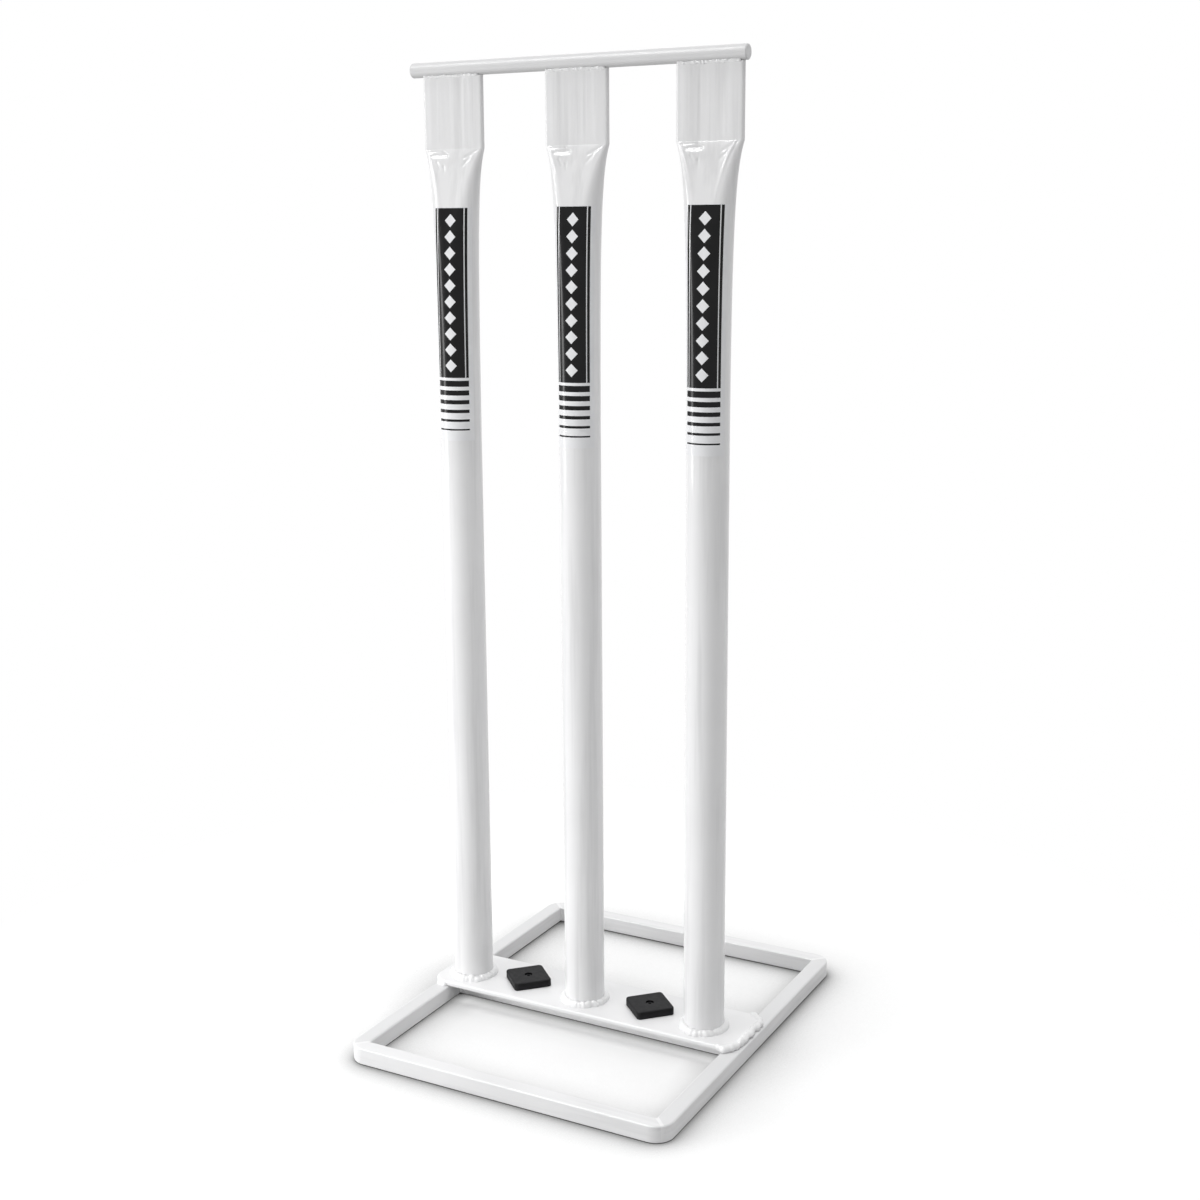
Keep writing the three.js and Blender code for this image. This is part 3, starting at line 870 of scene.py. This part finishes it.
# %% [markdown]
# The print on the label is drawn with arithmetic on the UV map, turned into millimetres across and
# up. It is a plain pattern of its own: a black panel with two thin white lines, a column of white
# diamonds, and black bars below it that get thinner. The gloss is that of vinyl.

# %% The print on the vinyl
vinyl, vinyl_surface = new_finish("printed black vinyl", grey(0.012, 0.001), 0.2)


def on_print(kind, *values):
    return arithmetic(vinyl, kind, *values)


def within(value, low, high):
    return on_print("MULTIPLY", on_print("GREATER_THAN", value, low), on_print("LESS_THAN", value, high))


own_map = add_node(vinyl, "ShaderNodeUVMap")
parts = add_node(vinyl, "ShaderNodeSeparateXYZ")
wire(vinyl, own_map.outputs["UV"], parts.inputs["Vector"])
across = on_print("ABSOLUTE", on_print("MULTIPLY_ADD", parts.outputs["X"], label_width, -label_width / 2))
up = on_print("MULTIPLY", parts.outputs["Y"], label_height)
print("the print is measured in millimetres across and up")

# %% Panel, lines and diamonds
panel_foot, panel_head, panel_half = 46, 166.7, 13.2
line_inner, line_outer = 10.5, 11.2
diamond_count, diamond_half_width, diamond_half_height, margin = 10, 4.6, 4.7, 3
first_diamond, last_diamond = panel_foot + margin, panel_head - margin
diamond_pitch = (last_diamond - first_diamond) / diamond_count
panel_wide = on_print("LESS_THAN", across, panel_half)
panel = on_print("MULTIPLY", within(up, panel_foot, panel_head), panel_wide)
lines = within(across, line_inner, line_outer)
beat = on_print("FRACT", on_print("DIVIDE", on_print("SUBTRACT", up, first_diamond), diamond_pitch))
rise = on_print("ABSOLUTE", on_print("MULTIPLY_ADD", beat, diamond_pitch, -diamond_pitch / 2))
side_share = on_print("DIVIDE", across, diamond_half_width)
height_share = on_print("DIVIDE", rise, diamond_half_height)
in_diamond = on_print("LESS_THAN", on_print("ADD", side_share, height_share), 1.0)
diamonds = on_print("MULTIPLY", in_diamond, within(up, first_diamond, last_diamond))
white_on_panel = on_print("MAXIMUM", lines, diamonds)
black_panel = on_print("MULTIPLY", panel, on_print("SUBTRACT", 1.0, white_on_panel))
print("diamonds every", round(diamond_pitch, 2), "mm")

# %% Bars that get thinner
bar_pitch, bars_foot, first_gap, gap_growth = 6.4, 7.6, 0.32, 0.1
bars_down = on_print("DIVIDE", on_print("SUBTRACT", panel_foot, up), bar_pitch)
gap = on_print("MULTIPLY_ADD", on_print("FLOOR", bars_down), gap_growth, first_gap)
past_gap = on_print("GREATER_THAN", on_print("FRACT", bars_down), gap)
bars = on_print("MULTIPLY", on_print("MULTIPLY", past_gap, within(up, bars_foot, panel_foot)), panel_wide)
ink = on_print("MAXIMUM", black_panel, bars)
print("the print has", len(vinyl.node_tree.nodes), "nodes")

# %% Finish the vinyl and lay the three labels
paper_light, paper_dark = (0.84, 0.845, 0.855), (0.8, 0.805, 0.82)
black_dark, black_light = grey(0.004, 0.0005), grey(0.007, 0.0005)
paper = blend_colours(vinyl, between(vinyl, cloudy(vinyl, 40), 0, 1), paper_light, paper_dark)
black = blend_colours(vinyl, between(vinyl, cloudy(vinyl, 70), 0, 1), black_dark, black_light)
wire(vinyl, blend_colours(vinyl, ink, paper, black), vinyl_surface.inputs["Base Color"])
wire(vinyl, between(vinyl, cloudy(vinyl, 120), 0.17, 0.26), vinyl_surface.inputs["Roughness"])
vinyl_surface.inputs["Specular IOR Level"].default_value = 0.12
vinyl_surface.inputs["Coat Weight"].default_value = 0.12
vinyl_surface.inputs["Coat Roughness"].default_value = 0.06
dent(vinyl, vinyl_surface, cloudy(vinyl, 55, 1.0), 0.4, 0.06)
for side, x in stump_places.items():
    label = twin(sheet)
    label.data.transform(Matrix.Translation((x * mm, 0, 0)))
    hand_over(label, f"sticker_{side}", f"{side}_label", vinyl, kind=rolled)
bpy.data.objects.remove(sheet)

# %% [markdown]
# Two square pads of black plastic are screwed down on the plate, each turned by about 45 degrees.
# They are moulded, with rounded corners, a softened top rim and a fine grain. A stepped hole takes
# the head of a small black screw, whose hexagon socket faces up.

# %% Black plastic
plastic, plastic_surface = new_finish("black moulded plastic", grey(0.012, 0.001), 0.46)
plastic_surface.inputs["Specular IOR Level"].default_value = 0.05
grain_dark, grain_light = grey(0.003, 0.0003), grey(0.006, 0.0005)
# The top is lighter than the sides as painted light, and the folded rims lighter still as a painted
# highlight.
lit_top_grey, edge_highlight_grey = grey(0.022, 0.001), grey(0.06, 0.002)
fold = add_node(plastic, "ShaderNodeNewGeometry").outputs["Pointiness"]
edge_highlight = between(plastic, fold, 0, 1, share_low=0.52, share_high=0.6)
tone = blend_colours(plastic, between(plastic, cloudy(plastic, 160), 0, 1), grain_dark, grain_light)
tone = blend_colours(plastic, facing(plastic, 0.5, 0.9), tone, lit_top_grey)
tone = blend_colours(plastic, edge_highlight, tone, edge_highlight_grey)
wire(plastic, tone, plastic_surface.inputs["Base Color"])
wire(plastic, between(plastic, cloudy(plastic, 260), 0.38, 0.52), plastic_surface.inputs["Roughness"])
dent(plastic, plastic_surface, cloudy(plastic, 1500, detail=2.0), 0.5, 0.06)
print("pads:", plastic.name)

# %% Blackened steel
black_steel, steel_surface = new_finish("blackened steel", grey(0.03, 0.002), 0.38)
steel_surface.inputs["Metallic"].default_value = 0.7
steel_gloss = between(black_steel, cloudy(black_steel, 900), 0.3, 0.5)
wire(black_steel, steel_gloss, steel_surface.inputs["Roughness"])
dent(black_steel, steel_surface, cloudy(black_steel, 1200), 0.4, 0.02)
print("screws:", black_steel.name)


# %% Pads
pad_half, pad_high, pad_turn = 14.75, 6, math.radians(46)
pad_corner, top_rim, foot_rim, hole_rim = 3, 1.1, 0.4, 0.35
head_hole, head_seat = 3, 2.5


def on_top(a, b):
    return level(a, b) and a.z > pad_high - hair


def at_hole(a, b):
    return on_top(a, b) and a.to_2d().length < pad_half / 2


def turned_into_place(piece, x):
    place = Vector((x, pad_y, plate_top)) * mm
    piece.data.transform(Matrix.Translation(place) @ Matrix.Rotation(pad_turn, 4, "Z"))


for side, x in pad_places.items():
    pad = block((-pad_half, -pad_half, 0), (pad_half, pad_half, pad_high))
    round_edges(pad, upright, pad_corner, 8)
    round_edges(pad, on_top, top_rim, 4)
    round_edges(pad, lambda a, b: level(a, b) and a.z < hair, foot_rim, 2)
    carve(pad, peg(0, 0, -past, pad_high + past, shank_hole))
    carve(pad, peg(0, 0, head_seat, pad_high + past, head_hole))
    round_edges(pad, at_hole, hole_rim, 3)
    turned_into_place(pad, x)
    hand_over(pad, f"plastic_pad_{side}", f"{side}_pad", plastic)

# %% Screws
head_top, head_radius, head_rim = 4.9, 2.7, 0.5
socket_foot, socket_radius, hexagon = 3.6, 1.45, 6
shank_foot, shank_radius, into_head = -3.7, 1.5, 0.1
for side, x in pad_places.items():
    screw = peg(0, 0, head_seat, head_top, head_radius)
    round_edges(screw, lambda a, b: level(a, b) and a.z > head_top - hair, head_rim, 4)
    carve(screw, peg(0, 0, socket_foot, pad_high, socket_radius, hexagon))
    shank = peg(0, 0, shank_foot, head_seat + into_head, shank_radius)
    only(shank)
    screw.select_set(True)
    bpy.context.view_layer.objects.active = screw
    bpy.ops.object.join()
    turned_into_place(screw, x)
    hand_over(screw, f"socket_screw_{side}", f"{side}_pad_screw", black_steel)

# %% [markdown]
# The set stands on a plain white floor. A white floor throws so much light back that the rails would
# lose their shape, so the light finds it a little darker than the eye does: the Light Path node tells
# the two apart. Close to the steel an Ambient Occlusion node deepens the shadow. Before the plate that
# would be too much, since real light comes in low there, so the shade is lifted by place. Under the
# plate a faint glow does the same. Far out the floor is all white, so that it meets the white
# background with no line.

# %% Floor
floor_radius, floor_drop = 30, 0.0002
nothing_selected()
bpy.ops.mesh.primitive_circle_add(
    vertices=96, radius=floor_radius, fill_type="NGON", location=(0, 0, -floor_drop),
)
floor = bpy.context.object
floor.name = "floor"
ground, ground_surface = new_finish("white floor", (0.9, 0.9, 0.9), 0.9)
ground_surface.inputs["Specular IOR Level"].default_value = 0.0
floor.data.materials.append(ground)


def seen(finish):
    """1 to the camera, also by way of a mirror or through glass, and 0 to the light."""
    path = add_node(finish, "ShaderNodeLightPath").outputs
    mirrored = arithmetic(finish, "MAXIMUM", path["Is Glossy Ray"], path["Is Transmission Ray"])
    return arithmetic(finish, "MAXIMUM", path["Is Camera Ray"], mirrored)


looked_at = seen(ground)
print("floor of radius", floor_radius, "m")

# %% Shadow close to the steel
lit_grey, seen_white, nook_reach, near_reach, shade_power = 0.5, 0.94, 0.08, 0.0125, 1.8


def open_to(reach):
    """How open a point of the floor is, as far as the reach in metres."""
    nook = add_node(ground, "ShaderNodeAmbientOcclusion", samples=8)
    nook.inputs["Distance"].default_value = reach
    return nook.outputs["AO"]


def ramp(value, before, after, start, stop):
    """Runs from one level to another between two places on the floor, in millimetres."""
    return between(ground, value, before, after, start * mm, stop * mm)


where = add_node(ground, "ShaderNodeTexCoord")
place = add_node(ground, "ShaderNodeSeparateXYZ")
wire(ground, where.outputs["Object"], place.inputs["Vector"])
east, north = place.outputs["X"], place.outputs["Y"]
wide_open = open_to(nook_reach)
open_share = arithmetic(ground, "POWER", wide_open, shade_power)
print("the floor is", lit_grey, "to the light and", seen_white, "to the eye")

# %% The shade is lifted before the plate
lift, lift_starts, lift_full = 0.6, plate_front + 12, plate_front - 2
toward_front_rail, toward_left_rail, toward_right_rail = (-50, -115), (-80, -109), (97, 126)
lifted = ramp(north, 0, lift, lift_starts, lift_full)
fades = ((north, toward_front_rail), (east, toward_left_rail), (east, toward_right_rail))
for direction, (starts, ends) in fades:
    lifted = arithmetic(ground, "MULTIPLY", lifted, ramp(direction, 1, 0, starts, ends))
closed_share = arithmetic(ground, "SUBTRACT", 1.0, open_share)
shade = arithmetic(ground, "MULTIPLY_ADD", closed_share, lifted, open_share)
seen_tone = blend_colours(ground, shade, grey(0, blue=0), grey(seen_white, blue=0))
tone = blend_colours(ground, looked_at, grey(lit_grey, blue=0), seen_tone)
wire(ground, tone, ground_surface.inputs["Base Color"])
print("the shade is lifted by up to", lift, "before the plate")

# %% Light that creeps in under the plate
creep_glow, glow_behind, glow_power = 1.2, 0.3, 2.2
middle_line, behind = 0, 20
covered = arithmetic(ground, "POWER", arithmetic(ground, "SUBTRACT", 1.0, wide_open), glow_power)
near_shade = arithmetic(ground, "POWER", open_to(near_reach), shade_power)
creep = arithmetic(ground, "MULTIPLY", covered, near_shade)
creep = arithmetic(ground, "MULTIPLY", creep, ramp(north, creep_glow, glow_behind, middle_line, behind))
ground_surface.inputs["Emission Color"].default_value = (1, 1, 1, 1)
wire(ground, arithmetic(ground, "MULTIPLY", creep, looked_at), ground_surface.inputs["Emission Strength"])
print("under the plate the floor glows by up to", creep_glow)

# %% Floor far out
near_white, far_white = 0.26, 0.55
radius = add_node(ground, "ShaderNodeVectorMath", operation="LENGTH")
wire(ground, where.outputs["Object"], radius.inputs[0])
far = between(ground, radius.outputs["Value"], 0, 1, near_white, far_white)
white_out = add_node(ground, "ShaderNodeEmission")
mixed = add_node(ground, "ShaderNodeMixShader")
wire(ground, arithmetic(ground, "MULTIPLY", far, looked_at), mixed.inputs["Fac"])
wire(ground, ground_surface.outputs[0], mixed.inputs[1])
wire(ground, white_out.outputs[0], mixed.inputs[2])
wire(ground, mixed.outputs[0], ground.node_tree.nodes["Material Output"].inputs["Surface"])
print("the floor turns to plain white between", near_white, "and", far_white, "m")

# %% [markdown]
# The light is that of a small studio. A surround gives an even level, and looks white to the camera.
# Two soft lamps light the steel. A broad one stands low at the left front, which makes the bright left
# side of each tube, and a large one hangs high overhead for the plate and the rails. Two more are seen
# only as reflections. A tall strip at the left draws the bright line down each tube, and a lamp high
# at the left front glints in the marks of the dies. So each of the two jobs is set by itself.

# %% Surround
ambient, background = 0.56, 1.0
world = bpy.data.worlds.new("studio")
bpy.context.scene.world = world
world.use_nodes = True
sky = world.node_tree.nodes["Background"]
sky.inputs["Color"].default_value = (1, 1, 1, 1)
wire(world, between(world, seen(world), ambient, background, 0, 1), sky.inputs["Strength"])
print("surround at", ambient)


# %% Lamps
def soft_lamp(name, place, target, width, height, watts):
    nothing_selected()
    bpy.ops.object.light_add(type="AREA", location=place)
    lamp = bpy.context.object
    lamp.name = name
    lamp.data.shape, lamp.data.size, lamp.data.size_y = "RECTANGLE", width, height
    lamp.data.energy = watts
    lamp.rotation_euler = (Vector(place) - Vector(target)).to_track_quat("Z", "Y").to_euler()
    return lamp


broad = soft_lamp(
    "broad lamp at the left front", place=(-0.85, -0.77, 0.17), target=(0, 0, 0.2),
    width=0.8, height=0.4, watts=5.1,
)
broad.data.spread = math.radians(130)
overhead = soft_lamp(
    "overhead lamp", place=(0.0, 0.1, 4.5), target=(0, 0, 0), width=2.8, height=2.8, watts=118,
)
broad.visible_glossy = overhead.visible_glossy = False
print("two lamps that light the steel")

# %% Lamps that are seen as reflections
strip = soft_lamp(
    "tall strip at the left", place=(-1.21, -0.59, 0.85), target=(0, 0, 0.75),
    width=0.3, height=1.3, watts=11.0,
)
glint = soft_lamp(
    "lamp high at the left front", place=(-0.99, -1.18, 2.49), target=(0, 0, 0.65),
    width=1.25, height=1.25, watts=70.0,
)
strip.visible_diffuse = glint.visible_diffuse = False
print("two lamps that only gleam")

# %% [markdown]
# The view stays Standard, so that colours come out as they were written.

# %% The view
bpy.context.scene.view_settings.view_transform = "Standard"
nothing_selected()
